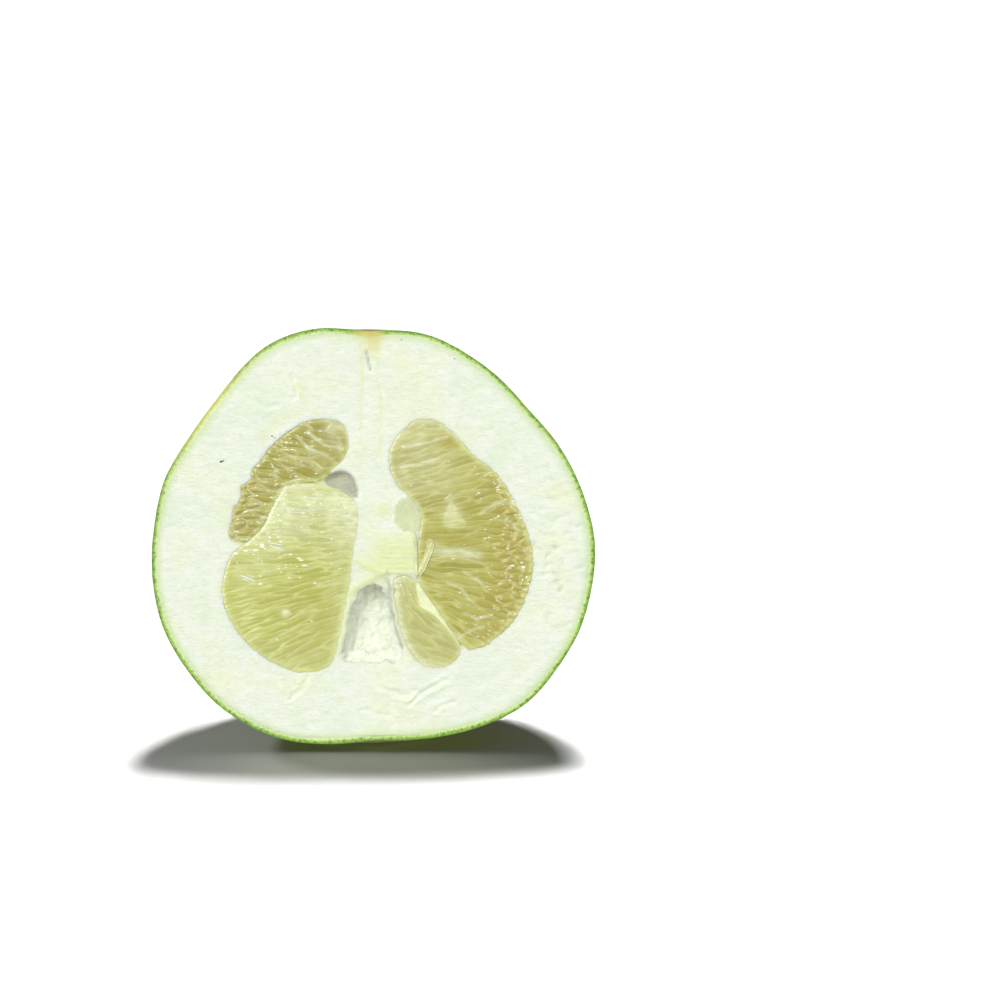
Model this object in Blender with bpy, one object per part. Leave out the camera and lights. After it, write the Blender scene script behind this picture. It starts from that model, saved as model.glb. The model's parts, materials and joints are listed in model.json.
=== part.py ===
"""Half a pomelo, cut from stem to base and standing on the flat of its base, the cut face tipped back a little.

The fruit is drawn in millimetres in its own frame: x across the cut face, z up along the face from the base,
y into the fruit, with the cut in the plane y = 0. Its outer surface is turned about the stem axis through three
profiles: right edge, back and left edge. The whole is then tipped back by LEAN and set on the floor, where
its base flattens under its weight.

Nodes: zest (green skin), pith (white tissue with the core), and the four segments that the cut lays open.
"""

import math
import random

import bmesh
import bpy
import numpy as np
from mathutils import Vector

# Driving dimensions, in millimetres and degrees
ZEST = 2.0  # thickness of the green skin
GAP = 0.3  # clearance between pieces that touch
LEAN = 8.0  # the cut face leans back from upright
LIFT = 3.0  # height of the face's lowest edge above the floor
SAC_WIDTH = 5.0  # juice sacs, larger than life
SAC_LENGTH = 15.0
SAC_HEIGHT = 1.2
TURNS = 32  # steps round the half, right edge to left edge
RINGS = 30  # steps from stem to base
ROWS_PER_SAC = 4  # mesh rows over the width of a juice sac
COLUMNS_PER_SAC = 5  # mesh columns along a juice sac

# Profiles of the whole half: distance from the stem axis, height above the base. From the stem down.
RIGHT_EDGE = [
    (0, 148), (6, 149), (19, 148), (31, 142.5), (46, 132), (57, 119.5), (68, 107), (77, 88),
    (80.5, 67), (76, 43), (67.5, 28), (57, 15), (46, 8.4), (35, 4.6), (24, 2.2), (13, 0.8), (0, 1),
]
LEFT_EDGE = [
    (0, 148), (8, 149), (17, 150), (26, 148.4), (36, 144.6), (44, 138.5), (57, 122.5), (67, 108.5),
    (75, 95), (79, 75), (79.5, 62), (77.5, 48), (73.5, 37), (66.5, 26), (57.5, 15), (47.5, 7.8),
    (38, 3), (29, 0.4), (19, -0.4), (9, 0), (0, 1),
]
BACK = [
    (0, 148), (8, 149.5), (21, 149), (37, 143), (54, 128), (68, 108), (78, 85), (81.5, 64),
    (79, 42), (72, 25), (62, 11), (52, 2.5), (40, -1.5), (26, -2.8), (12, -2), (0, 1),
]

# Segments as the cut shows them, in the plane of the face: (x, z), both sides drawn from one tip to the other.
# recess: how far the flesh lies below the cut; swell: how far its middle stands out again.
SEGMENTS = {
    "segment_left_upper": {
        "core_side": [(-12.5, 116.2), (-8.9, 111), (-9.4, 104), (-15, 98.3), (-22, 95.6), (-28.5, 95.8),
                      (-34, 91.4), (-37.4, 83.5), (-41.5, 77), (-47, 74.4)],
        "rind_side": [(-12.5, 116.2), (-19.5, 116.7), (-26.5, 114.5), (-34.5, 108.6), (-40.5, 101), (-43, 95),
                      (-46.5, 90), (-48.5, 85), (-50.5, 77), (-47, 74.4)],
        "recess": 4.2, "swell": 0.8,
    },
    "segment_left_main": {
        "core_side": [(-31, 92.4), (-22, 93.2), (-13, 91.6), (-6.5, 87), (-5.6, 80), (-7.2, 69), (-8.4, 57),
                      (-10.5, 47), (-12.6, 36), (-15, 28.4), (-20, 26.2)],
        "rind_side": [(-31, 92.4), (-35.4, 85), (-39, 77.5), (-44.5, 72.4), (-50.5, 67.5), (-53.7, 56), (-51.5, 46),
                      (-46, 37.5), (-37.5, 30.4), (-28, 26.2), (-20, 26.2)],
        "recess": 2.8, "swell": 1.4,
    },
    "segment_right_main": {
        "core_side": [(15.5, 116.3), (9, 110), (6.4, 102.5), (8.6, 94.5), (14.5, 88), (18, 82), (17, 73), (16.6, 61),
                      (19.5, 54), (25.5, 46), (30.6, 38), (35, 33.8)],
        "rind_side": [(15.5, 116.3), (23, 116), (30, 110.5), (36.5, 103.5), (44.5, 97), (51, 87), (55.5, 76.5),
                      (57.6, 66), (55.6, 54.5), (50.5, 44.5), (42.5, 36.6), (35, 33.8)],
        "recess": 2.6, "swell": 0.8,
    },
    "segment_right_lower": {
        "core_side": [(10, 59.3), (7.8, 56.5), (9, 50), (11, 42), (14, 33), (18, 28.8), (23, 28)],
        "rind_side": [(10, 59.3), (14.6, 58), (17.4, 51), (23, 43.5), (28.4, 37), (29.6, 31.5), (23, 28)],
        "recess": 2.2, "swell": 0.6,
    },
}
SEGMENT_DEPTH = 16.0  # from the cut to the back of a segment
SEGMENT_TAPER = 0.55  # size of a segment's back, as a share of its front

# The hollow low in the core: outline in the face, deepest at the top.
HOLLOW = [(1, 57.5), (-4.5, 55), (-8, 45), (-10, 36), (-11, 30.5), (-3, 29), (6, 29), (11, 31), (8.5, 40), (6.4, 50),
          (5, 55.5)]
HOLLOW_TOP_DEPTH = 12.0
HOLLOW_BASE_DEPTH = 5.0
HOLLOW_FLOOR = 0.55  # size of the hollow's floor, as a share of its mouth


def smooth_path(points, count):
    """count + 1 points, evenly spaced along a smooth curve through the given ones."""
    p = np.array(points, float)
    p = np.vstack([2 * p[0] - p[1], p, 2 * p[-1] - p[-2]])
    fine = []
    for a, b, c, d in zip(p[:-3], p[1:-2], p[2:-1], p[3:]):
        for t in np.linspace(0, 1, 12, endpoint=False):
            fine.append(0.5 * (2 * b + (c - a) * t + (2 * a - 5 * b + 4 * c - d) * t**2
                               + (3 * b - a - 3 * c + d) * t**3))
    fine = np.array(fine + [p[-2]])
    along = np.concatenate([[0], np.cumsum(np.linalg.norm(np.diff(fine, axis=0), axis=1))])
    wanted = np.linspace(0, along[-1], count + 1)
    return np.column_stack([np.interp(wanted, along, fine[:, i]) for i in range(2)])


def inward(profile, depth):
    """The profile moved into the fruit by depth, with its ends kept on the stem axis."""
    along = np.gradient(profile, axis=0)
    along /= np.linalg.norm(along, axis=1)[:, None]
    moved = profile + depth * np.column_stack([along[:, 1], -along[:, 0]])
    moved[0] = (0, profile[0, 1] - depth)
    moved[-1] = (0, profile[-1, 1] + depth)
    moved[:, 0] = np.maximum(moved[:, 0], 0)
    return moved


def stand(point):
    """A point of the fruit's frame, tipped back by LEAN and lifted onto the floor."""
    x, y, z = point
    lean = math.radians(LEAN)
    return Vector((x, y * math.cos(lean) + z * math.sin(lean), LIFT - y * math.sin(lean) + z * math.cos(lean)))


def skin_rows(depth, floor):
    """Rows of points, stem to base, on the surface lying depth under the skin and flattened at the height floor,
    from the right edge to the left."""
    right, back, left = (smooth_path(p, RINGS) for p in (RIGHT_EDGE, BACK, LEFT_EDGE))
    rows = []
    for step in range(TURNS + 1):
        turn = math.pi * step / TURNS
        edge = right if turn < math.pi / 2 else left
        share = math.cos(turn) ** 2
        profile = inward(share * edge + (1 - share) * back, depth)
        side = 0.0 if step in (0, TURNS) else math.sin(turn)
        row = [stand((r * math.cos(turn), r * side, z)) for r, z in profile]
        rows.append([Vector((p.x, p.y, max(p.z, floor))) for p in row])
    return rows


def add_rows(mesh, rows, flip=False):
    """Adds a grid of points to the mesh, bridged row to row, and returns its vertices."""
    grid = [[mesh.verts.new(p) for p in row] for row in rows]
    for a, b in zip(grid, grid[1:]):
        for i in range(len(a) - 1):
            quad = [a[i], a[i + 1], b[i + 1], b[i]]
            mesh.faces.new(quad[::-1] if flip else quad)
    return grid


def as_object(name, mesh, color, roughness, fruit):
    """Closes the mesh's doubled points, turns its faces outwards and gives it a finish."""
    bmesh.ops.remove_doubles(mesh, verts=mesh.verts, dist=0.01)
    bmesh.ops.dissolve_degenerate(mesh, dist=0.01, edges=mesh.edges)
    bmesh.ops.recalc_face_normals(mesh, faces=mesh.faces)
    bmesh.ops.scale(mesh, vec=(0.001, 0.001, 0.001), verts=mesh.verts)
    data = bpy.data.meshes.new(name)
    mesh.to_mesh(data)
    mesh.free()
    obj = bpy.data.objects.new(name, data)
    bpy.context.scene.collection.objects.link(obj)
    data.shade_smooth()
    data.set_sharp_from_angle(angle=math.radians(35))
    obj.parent = fruit
    finish = bpy.data.materials.new(name)
    finish.use_nodes = True
    shader = finish.node_tree.nodes["Principled BSDF"]
    shader.inputs["Base Color"].default_value = (*color, 1)
    shader.inputs["Roughness"].default_value = roughness
    shader.inputs["Metallic"].default_value = 0
    data.materials.append(finish)
    return obj


def make_zest(fruit):
    """The green skin: a shell of even thickness, open at the cut."""
    mesh = bmesh.new()
    outer = add_rows(mesh, skin_rows(0, 0))
    inner = add_rows(mesh, skin_rows(ZEST, ZEST), flip=True)
    for out, inn in ((outer[0], inner[0]), (outer[-1], inner[-1])):
        for i in range(RINGS):
            mesh.faces.new([out[i], out[i + 1], inn[i + 1], inn[i]])
    return as_object("zest", mesh, (0.24, 0.36, 0.05), 0.45, fruit)


def make_pith(fruit):
    """The white tissue under the skin, solid up to the cut face, with pockets for the segments and the hollow."""
    mesh = bmesh.new()
    grid = add_rows(mesh, skin_rows(ZEST + GAP, ZEST + 2 * GAP))
    mesh.faces.new(grid[0] + grid[-1][-2:0:-1])
    pith = as_object("pith", mesh, (0.86, 0.88, 0.76), 0.8, fruit)
    for name, shape in SEGMENTS.items():
        outline = outline_of(shape, 36)
        carve(pith, pocket(name + "_pocket", outline, SEGMENT_DEPTH, SEGMENT_DEPTH, SEGMENT_TAPER, fruit))
    hollow = smooth_path(HOLLOW + HOLLOW[:1], 28)[:-1]
    carve(pith, pocket("core_hollow", hollow, HOLLOW_BASE_DEPTH, HOLLOW_TOP_DEPTH, HOLLOW_FLOOR, fruit))
    return pith


def carve(solid, cutter):
    cut = solid.modifiers.new(cutter.name, "BOOLEAN")
    cut.operation = "DIFFERENCE"
    cut.object = cutter


def outline_of(shape, steps):
    """The closed outline of a segment: down its core side, up its rind side."""
    core = smooth_path(shape["core_side"], steps)
    rind = smooth_path(shape["rind_side"], steps)
    return np.vstack([core, rind[-2:0:-1]])


def pocket(name, outline, base_depth, top_depth, floor_share, fruit, proud=4.0):
    """A cutter: the outline from in front of the face, straight down, then narrowing to a floor that slopes from
    top_depth at its upper end to base_depth at its lower end."""
    mesh = bmesh.new()
    middle = (outline.min(axis=0) + outline.max(axis=0)) / 2
    low, high = outline[:, 1].min(), outline[:, 1].max()
    rows = []
    for depth_share, size in ((None, 1.0), (0.3, 1.0), (0.75, (1 + floor_share) / 2), (1.0, floor_share)):
        row = []
        for x, z in middle + (outline - middle) * size:
            deepest = base_depth + (top_depth - base_depth) * (z - low) / (high - low)
            clear = GAP if depth_share == 1.0 else 0
            row.append(stand((x, -proud if depth_share is None else deepest * depth_share + clear, z)))
        rows.append(row + row[:1])
    grid = add_rows(mesh, rows)
    mesh.faces.new(grid[0][:-1])
    mesh.faces.new(grid[-1][:-1])
    cutter = as_object(name, mesh, (1, 1, 1), 0.5, fruit)
    cutter.hide_render = True
    cutter.display_type = "WIRE"
    return cutter


def make_segment(name, shape, fruit):
    """A segment: its front raised into juice sacs that run from the core side to the rind side, its back plain."""
    chance = random.Random(name)
    core = smooth_path(shape["core_side"], 60)
    rind = smooth_path(shape["rind_side"], 60)
    height = np.linalg.norm(np.diff((core + rind) / 2, axis=0), axis=1).sum()
    width = np.linalg.norm(core - rind, axis=1).max()
    sacs_down = max(5, round(height / SAC_WIDTH))
    sacs_across = max(1.4, width / SAC_LENGTH)
    down = sacs_down * ROWS_PER_SAC
    across = max(6, round(COLUMNS_PER_SAC * sacs_across))
    core = smooth_path(shape["core_side"], down)
    rind = smooth_path(shape["rind_side"], down)
    shifts = [chance.random() for _ in range(sacs_down)]
    bumps = [0.8 + 0.4 * chance.random() for _ in range(sacs_down)]

    rows = []
    for i in range(down + 1):
        row = []
        sac = min(i // ROWS_PER_SAC, sacs_down - 1)
        round_down = math.sin(math.pi * (i % ROWS_PER_SAC) / ROWS_PER_SAC)
        for j in range(across + 1):
            u = j / across
            x, z = core[i] + (rind[i] - core[i]) * u
            inside = min(1.0, 8 * min(u, 1 - u), 8 * min(i / down, 1 - i / down))
            round_across = 0.65 + 0.35 * math.cos(2 * math.pi * (u * sacs_across + shifts[sac]))
            swell = shape["swell"] * math.sin(math.pi * u) * math.sin(math.pi * i / down)
            raised = SAC_HEIGHT * bumps[sac] * round_down * round_across * inside
            row.append((x, shape["recess"] - swell - raised, z))
        rows.append(row)

    outline = outline_of(shape, down)
    middle = (outline.min(axis=0) + outline.max(axis=0)) / 2
    drawn_in = inset(outline, GAP)
    for k, (x, z) in enumerate(drawn_in):
        i, j = (k, 0) if k <= down else (2 * down - k, across)
        rows[i][j] = (x, rows[i][j][1], z)
    rows[0] = [rows[0][0]] * (across + 1)
    rows[-1] = [rows[-1][0]] * (across + 1)

    mesh = bmesh.new()
    add_rows(mesh, [[stand(p) for p in row] for row in rows])
    sides = []
    for depth_share, size in ((None, 1.0), (0.3, 1.0), (0.75, (1 + SEGMENT_TAPER) / 2), (1.0, SEGMENT_TAPER)):
        depth = shape["recess"] if depth_share is None else SEGMENT_DEPTH * depth_share
        row = [stand((x, depth, z)) for x, z in middle + (drawn_in - middle) * size]
        sides.append(row + row[:1])
    grid = add_rows(mesh, sides)
    mesh.faces.new(grid[-1][:-1])
    return as_object(name, mesh, (0.58, 0.53, 0.16), 0.2, fruit)


def inset(outline, gap):
    """The closed outline, drawn in by gap all round, and further at its sharp tips."""
    step = np.roll(outline, -1, axis=0) - outline
    step /= np.linalg.norm(step, axis=1)[:, None]
    after = np.column_stack([-step[:, 1], step[:, 0]])
    before = np.roll(after, 1, axis=0)
    middle = (after + before) / np.linalg.norm(after + before, axis=1)[:, None]
    x, z = outline[:, 0], outline[:, 1]
    area = np.sum(x * np.roll(z, -1) - np.roll(x, -1) * z) / 2
    reach = gap / np.maximum(0.3, np.sum(middle * after, axis=1))
    return outline + math.copysign(1, area) * reach[:, None] * middle


def main():
    for obj in list(bpy.data.objects):
        bpy.data.objects.remove(obj, do_unlink=True)
    corners = np.array([p for row in skin_rows(0, 0) for p in row])
    middle = (corners.min(axis=0) + corners.max(axis=0)) / 2
    fruit = bpy.data.objects.new("fruit", None)
    bpy.context.scene.collection.objects.link(fruit)
    fruit.location = (-middle[0] / 1000, -middle[1] / 1000, 0)
    make_zest(fruit)
    make_pith(fruit)
    for name, shape in SEGMENTS.items():
        make_segment(name, shape, fruit)


main()
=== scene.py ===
"""Half a pomelo on a pale floor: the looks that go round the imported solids."""
import json
import math

import bmesh
import bpy
import numpy as np
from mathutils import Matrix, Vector, kdtree, noise
from mathutils.bvhtree import BVHTree

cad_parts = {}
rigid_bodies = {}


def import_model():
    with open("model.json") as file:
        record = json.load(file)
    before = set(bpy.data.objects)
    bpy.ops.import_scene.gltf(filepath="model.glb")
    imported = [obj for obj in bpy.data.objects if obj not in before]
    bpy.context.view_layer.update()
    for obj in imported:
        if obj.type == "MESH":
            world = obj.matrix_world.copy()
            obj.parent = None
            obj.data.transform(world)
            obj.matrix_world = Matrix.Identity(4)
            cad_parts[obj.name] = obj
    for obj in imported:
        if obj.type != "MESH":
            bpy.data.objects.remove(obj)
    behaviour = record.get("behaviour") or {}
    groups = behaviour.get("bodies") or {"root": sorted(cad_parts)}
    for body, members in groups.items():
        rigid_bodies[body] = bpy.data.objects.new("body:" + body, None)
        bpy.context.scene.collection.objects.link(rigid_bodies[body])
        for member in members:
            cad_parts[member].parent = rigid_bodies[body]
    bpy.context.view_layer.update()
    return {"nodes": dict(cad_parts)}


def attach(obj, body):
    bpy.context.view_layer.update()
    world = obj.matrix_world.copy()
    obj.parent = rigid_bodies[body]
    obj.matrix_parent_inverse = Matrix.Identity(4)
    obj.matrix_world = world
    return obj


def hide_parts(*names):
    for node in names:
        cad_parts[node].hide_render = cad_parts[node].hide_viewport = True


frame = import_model()
bpy.ops.object.select_all(action="DESELECT")

# Camera: level with the top of the fruit and looking slightly down at the cut face, which leans back to meet
# it. The half stands left of the middle of the view.
LEAN = math.radians(8)  # the cut face leans back from upright
FOOT = Vector((-0.0004, -0.0450, 0.0030))  # where the stem axis meets the foot of the cut face
ACROSS = Vector((1, 0, 0))
UP_FACE = Vector((0, math.sin(LEAN), math.cos(LEAN)))
INTO_FRUIT = Vector((0, math.cos(LEAN), -math.sin(LEAN)))


def on_face(x, z, depth=0.0):
    """A point given in millimetres on the cut face: x across, z up the face, depth into the fruit."""
    return FOOT + (ACROSS * x + UP_FACE * z + INTO_FRUIT * depth) / 1000


DOWN_TILT = math.radians(10)
DISTANCE = 1.10
aim = on_face(46.1, 87.8)
bpy.ops.object.camera_add(
    location=aim + Vector((0, -math.cos(DOWN_TILT), math.sin(DOWN_TILT))) * DISTANCE,
    rotation=(math.pi / 2 - DOWN_TILT, 0, 0),
)
camera = bpy.context.object
camera.name = "camera"
camera.data.sensor_width = 36
camera.data.lens = 36 * DISTANCE / 0.360
bpy.context.scene.camera = camera

# Floor and light: a white sheet that runs out of sight, a lamp above and behind the fruit that throws its
# shadow forwards, and a wide soft light in front that fills the cut face.
bpy.ops.mesh.primitive_plane_add(size=120)
floor = bpy.context.object
floor.name = "floor"
floor.visible_diffuse = False  # the sheet's own glow would light the top of the cut more than its foot
floor.visible_glossy = False
floor_paint = bpy.data.materials.new("floor")
floor_paint.use_nodes = True
floor_shader = floor_paint.node_tree.nodes["Principled BSDF"]
floor_shader.inputs["Base Color"].default_value = (0.56, 0.57, 0.565, 1)
floor_shader.inputs["Roughness"].default_value = 0.6
floor.data.materials.append(floor_paint)


def far_lamp(name, direction, softness, strength, floor_only=None):
    """A lamp far away in the given direction, softness degrees wide. floor_only says whether it lights the
    floor alone or all but the floor; without it, the lamp lights everything."""
    bpy.ops.object.light_add(type="SUN", rotation=Vector(direction).to_track_quat("Z", "Y").to_euler())
    lamp = bpy.context.object
    lamp.name = name
    lamp.data.angle = math.radians(softness)
    lamp.data.energy = strength
    if floor_only is not None:
        lit = bpy.data.collections.new(name)
        lit.objects.link(floor)
        lit.collection_objects[0].light_linking.link_state = "INCLUDE" if floor_only else "EXCLUDE"
        lamp.light_linking.receiver_collection = lit


far_lamp("lamp_above", (0.05, 0.40, 0.92), 9, 3.2)
far_lamp("lamp_on_floor", (0.11, 0.385, 0.91), 11, 3.6, floor_only=True)
far_lamp("lamp_behind_left", (-0.72, 0.42, 0.55), 10, 1.1, floor_only=True)
far_lamp("lamp_left", (-0.60, -0.76, 0.24), 45, 1.75, floor_only=False)
far_lamp("lamp_right", (0.60, -0.78, 0.18), 45, 1.35, floor_only=False)
far_lamp("lamp_front", (-0.10, -0.97, 0.10), 80, 0.60, floor_only=False)
far_lamp("lamp_glint", (-0.22, -0.66, 0.72), 4, 0.6, floor_only=False)

room = bpy.data.worlds.new("room")
room.use_nodes = True
room_nodes = room.node_tree.nodes
room_light = room_nodes["Background"]
room_light.inputs["Color"].default_value = (1, 1, 1, 1)
seen = room_nodes.new("ShaderNodeLightPath")
glow = room_nodes.new("ShaderNodeMapRange")
glow.inputs["To Min"].default_value = 0.13
glow.inputs["To Max"].default_value = 1.0
room.node_tree.links.new(seen.outputs["Is Camera Ray"], glow.inputs["Value"])
room.node_tree.links.new(glow.outputs["Result"], room_light.inputs["Strength"])
bpy.context.scene.world = room
bpy.context.scene.view_settings.view_transform = "Standard"

# Skin: the green outer peel, a waxy layer about two millimetres thick and full of oil glands, which show as
# dark green dots all over it. It covers the round of the fruit and ends at the cut, where its edge shows the
# glands sliced through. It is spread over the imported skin's form, then thickened, dimpled and painted.
SKIN_DEPTH = 0.0020
GLAND_GRID = 36  # glands along one side of each of the twenty starting triangles
GLAND_JITTER = 0.0009  # how far glands stray from an even spread
PIT_DEPTH = 0.00020  # of the dimple over a gland
START_BALL = (0.0815, 0.0835, 0.0775)  # radii of the ball of glands before it is drawn onto the form


def into_fruit(points):
    """How deep points lie behind the cut face, in metres."""
    return (points - np.array(FOOT)) @ np.array(INTO_FRUIT)


def points_of(mesh):
    """A mesh's points, as an array of three columns."""
    flat = np.empty(len(mesh.vertices) * 3)
    mesh.vertices.foreach_get("co", flat)
    return flat.reshape(-1, 3)


def move_points(mesh, points):
    mesh.vertices.foreach_set("co", points.ravel())
    mesh.update()


def mark(mesh, name, values):
    """Keeps a value for each point of the mesh under a name, for materials to read."""
    layer = mesh.attributes.get(name) or mesh.attributes.new(name, "FLOAT", "POINT")
    layer.data.foreach_set("value", np.asarray(values, float))


def read_mark(mesh, name):
    values = np.empty(len(mesh.vertices))
    mesh.attributes[name].data.foreach_get("value", values)
    return values


def normals_of(mesh):
    """The way each of a mesh's points faces, as an array of three columns."""
    flat = np.empty(len(mesh.vertices) * 3)
    mesh.vertex_normals.foreach_get("vector", flat)
    return flat.reshape(-1, 3)


def take_up(piece):
    """Selects this piece alone and makes it the active one."""
    bpy.ops.object.select_all(action="DESELECT")
    piece.select_set(True)
    bpy.context.view_layer.objects.active = piece


def copy_of(node, name):
    """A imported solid's shape as a new object, its triangles joined up and the object selected."""
    piece = frame["nodes"][node].copy()
    piece.data = piece.data.copy()
    piece.parent = None
    for key in list(piece.keys()):
        del piece[key]
    piece.name = piece.data.name = name
    bpy.context.scene.collection.objects.link(piece)
    take_up(piece)
    bpy.ops.object.mode_set(mode="EDIT")
    bpy.ops.mesh.select_all(action="SELECT")
    bpy.ops.mesh.remove_doubles(threshold=0.00001)
    bpy.ops.object.mode_set(mode="OBJECT")
    return piece


def pick(piece, verts=None, edges=None, faces=None):
    """Selects points, edges or faces of the active object by a test, and leaves it in edit mode."""
    bpy.ops.object.mode_set(mode="EDIT")
    bpy.ops.mesh.select_all(action="DESELECT")
    kind = "VERT" if verts else "EDGE" if edges else "FACE"
    bpy.ops.mesh.select_mode(type=kind)
    shape = bmesh.from_edit_mesh(piece.data)
    layer, test = (shape.verts, verts) if verts else (shape.edges, edges) if edges else (shape.faces, faces)
    for item in layer:
        if test(item):
            item.select_set(True)
    shape.select_flush_mode()
    bmesh.update_edit_mesh(piece.data)


# the smooth form that the skin is drawn onto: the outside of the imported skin, rounded off
form = copy_of("zest", "skin_form")
toward = -INTO_FRUIT
pick(form, faces=lambda f: f.normal.dot(toward) > 0.999
     and abs((f.calc_center_median() - FOOT).dot(toward)) < 0.0004)
bpy.ops.mesh.delete(type="FACE")
bpy.ops.mesh.select_all(action="SELECT")
bpy.ops.mesh.tris_convert_to_quads(face_threshold=1.0, shape_threshold=1.0)
bpy.ops.mesh.separate(type="LOOSE")
bpy.ops.object.mode_set(mode="OBJECT")
shells = list(bpy.context.selected_objects)
form = max(shells, key=lambda o: o.dimensions.x)
for shell in shells:
    if shell != form:
        bpy.data.objects.remove(shell)
take_up(form)
rounding = form.modifiers.new("rounding", "SUBSURF")
rounding.levels = rounding.render_levels = 2
bpy.ops.object.modifier_apply(modifier="rounding")

# one point for each gland, then finer points between them
bpy.ops.object.select_all(action="DESELECT")
bpy.ops.mesh.primitive_ico_sphere_add(subdivisions=1, radius=1, location=(0, 0, 0))
skin = bpy.context.object
skin.name = skin.data.name = "skin"
bpy.ops.object.mode_set(mode="EDIT")
bpy.ops.mesh.subdivide(number_cuts=GLAND_GRID - 1)
bpy.ops.object.mode_set(mode="OBJECT")
ball = points_of(skin.data)
ball /= np.linalg.norm(ball, axis=1)[:, None]
middle = np.array(on_face(0.5, 70))
move_points(skin.data, middle + ball * START_BALL)
bpy.ops.object.mode_set(mode="EDIT")
bpy.ops.mesh.select_all(action="SELECT")
bpy.ops.transform.vertex_random(offset=GLAND_JITTER, seed=2)
bpy.ops.mesh.select_all(action="SELECT")
bpy.ops.mesh.bisect(plane_co=FOOT, plane_no=toward, clear_outer=True)
bpy.ops.object.mode_set(mode="OBJECT")


def drawn_onto(piece, target, group=None):
    """Moves the piece's points to the nearest place on the target's surface."""
    wrap = piece.modifiers.new("wrap", "SHRINKWRAP")
    wrap.target = target
    wrap.wrap_method = "NEAREST_SURFACEPOINT"
    if group:
        wrap.vertex_group = group
    bpy.ops.object.modifier_apply(modifier="wrap")


drawn_onto(skin, form)
chance = np.random.default_rng(11)
depth = into_fruit(points_of(skin.data))
mark(skin.data, "gland", np.where(depth > 0.0003, chance.uniform(0.55, 1.0, len(depth)), 0.0))
mark(skin.data, "layer", np.zeros(len(depth)))
glands_made = len(depth)

# the inner side of the peel, then the rim between them brought flush with the cut
wall = skin.modifiers.new("wall", "SOLIDIFY")
wall.thickness = SKIN_DEPTH
wall.offset = -1
bpy.ops.object.modifier_apply(modifier="wall")
points = points_of(skin.data)
layer = (np.arange(len(points)) >= glands_made).astype(float)  # the inner side comes last
mark(skin.data, "layer", layer)
mark(skin.data, "gland", read_mark(skin.data, "gland") * (1 - layer))
outer_group = skin.vertex_groups.new(name="outside")
outer_group.add([int(i) for i in np.nonzero(layer == 0)[0]], 1.0, "REPLACE")
on_rim = np.zeros(len(points), bool)
for polygon in skin.data.polygons:
    kinds = layer[list(polygon.vertices)]
    if 0 < kinds.mean() < 1:
        on_rim[list(polygon.vertices)] = True
depth = into_fruit(points)
points[on_rim] -= depth[on_rim, None] * np.array(INTO_FRUIT)
move_points(skin.data, points)

glands_made = len(points)
pick(skin, faces=lambda f: all(layer[v.index] == 0 for v in f.verts))
bpy.ops.mesh.subdivide(number_cuts=2)
bpy.ops.object.mode_set(mode="OBJECT")
drawn_onto(skin, form, "outside")
gland = read_mark(skin.data, "gland")
gland[glands_made:] = 0.0
mark(skin.data, "gland", gland)

# relief: a shallow pit over each gland, and the gentle unevenness of a grown fruit
points = points_of(skin.data)
normals = normals_of(skin.data)
outside = read_mark(skin.data, "layer") < 0.01
swell = np.array([noise.noise(Vector(p) * 45) * 0.00035 + noise.noise(Vector(p) * 330) * 0.00009
                  for p in points])
lift = (swell - PIT_DEPTH * gland) * outside
depth = into_fruit(points)
flush = np.abs(depth) < 0.00005
move = normals * lift[:, None]
move[flush] -= (move[flush] @ np.array(INTO_FRUIT))[:, None] * np.array(INTO_FRUIT)
points = points + move
points[:, 2] = np.maximum(points[:, 2], 0.0)
move_points(skin.data, points)
from_stem = np.hypot((points[:, 0] * 1000 + 1.0) / 4.6, (into_fruit(points) * 1000) / 6.0)
from_stem += 9 * (points[:, 2] < 0.12)  # the stem's end is on top only
ragged = 0.35 * np.array([noise.noise(Vector(p) * 300) for p in points])
mark(skin.data, "scar", np.clip(1.55 - from_stem + ragged, 0, 1))

# a patch high on the left has ripened to yellow
patch_x, patch_z = points[:, 0] * 1000 + 56, points[:, 2] * 1000 - 120  # from the patch's middle
patch = np.exp(-(((patch_x * 0.6 + patch_z * 0.8) / 20) ** 2) - (into_fruit(points) * 1000 / 13) ** 2)
mark(skin.data, "blush", np.clip(patch * (points[:, 0] < 0) * (1 + 0.6 * ragged), 0, 1))
take_up(skin)
bpy.ops.object.shade_smooth_by_angle(angle=math.radians(50))


def shade(red, green, blue):
    """A colour given as it looks on a screen, from 0 to 255, as the shader wants it."""
    parts = [c / 255 for c in (red, green, blue)]
    return tuple(c / 12.92 if c <= 0.04045 else ((c + 0.055) / 1.055) ** 2.4 for c in parts) + (1,)


def finish_of(name):
    """A new material, as its nodes and its Principled shader."""
    paint = bpy.data.materials.new(name)
    paint.use_nodes = True
    return paint, paint.node_tree, paint.node_tree.nodes["Principled BSDF"]


def feed(tree, node, feeds):
    """Gives inputs of a node their values, each a plain one or another node's output."""
    for key, value in feeds.items():
        if isinstance(value, bpy.types.NodeSocket):
            tree.links.new(value, node.inputs[key])
        else:
            node.inputs[key].default_value = value


def add(tree, kind, feeds=None, **settings):
    """A new node. feeds are its inputs and settings its own choices."""
    node = tree.nodes.new("ShaderNode" + kind)
    for key, value in settings.items():
        setattr(node, key, value)
    feed(tree, node, feeds or {})
    return node


def place_on(tree):
    """Where the shaded place lies, in metres."""
    return add(tree, "TexCoord").outputs["Object"]


def ramp(tree, value, *stops):
    """Turns a value into a colour or mask through stops of (place, colour or grey)."""
    node = add(tree, "ValToRGB", {"Fac": value})
    knots = node.color_ramp.elements
    while len(knots) < len(stops):
        knots.new(0.5)
    for knot, (place, color) in zip(knots, stops):
        knot.position = place
        knot.color = color if isinstance(color, tuple) else (color, color, color, 1)
    return node.outputs["Color"]


def blend_colors(tree, share, first, second):
    return add(tree, "Mix", {0: share, 6: first, 7: second}, data_type="RGBA").outputs[2]


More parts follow.
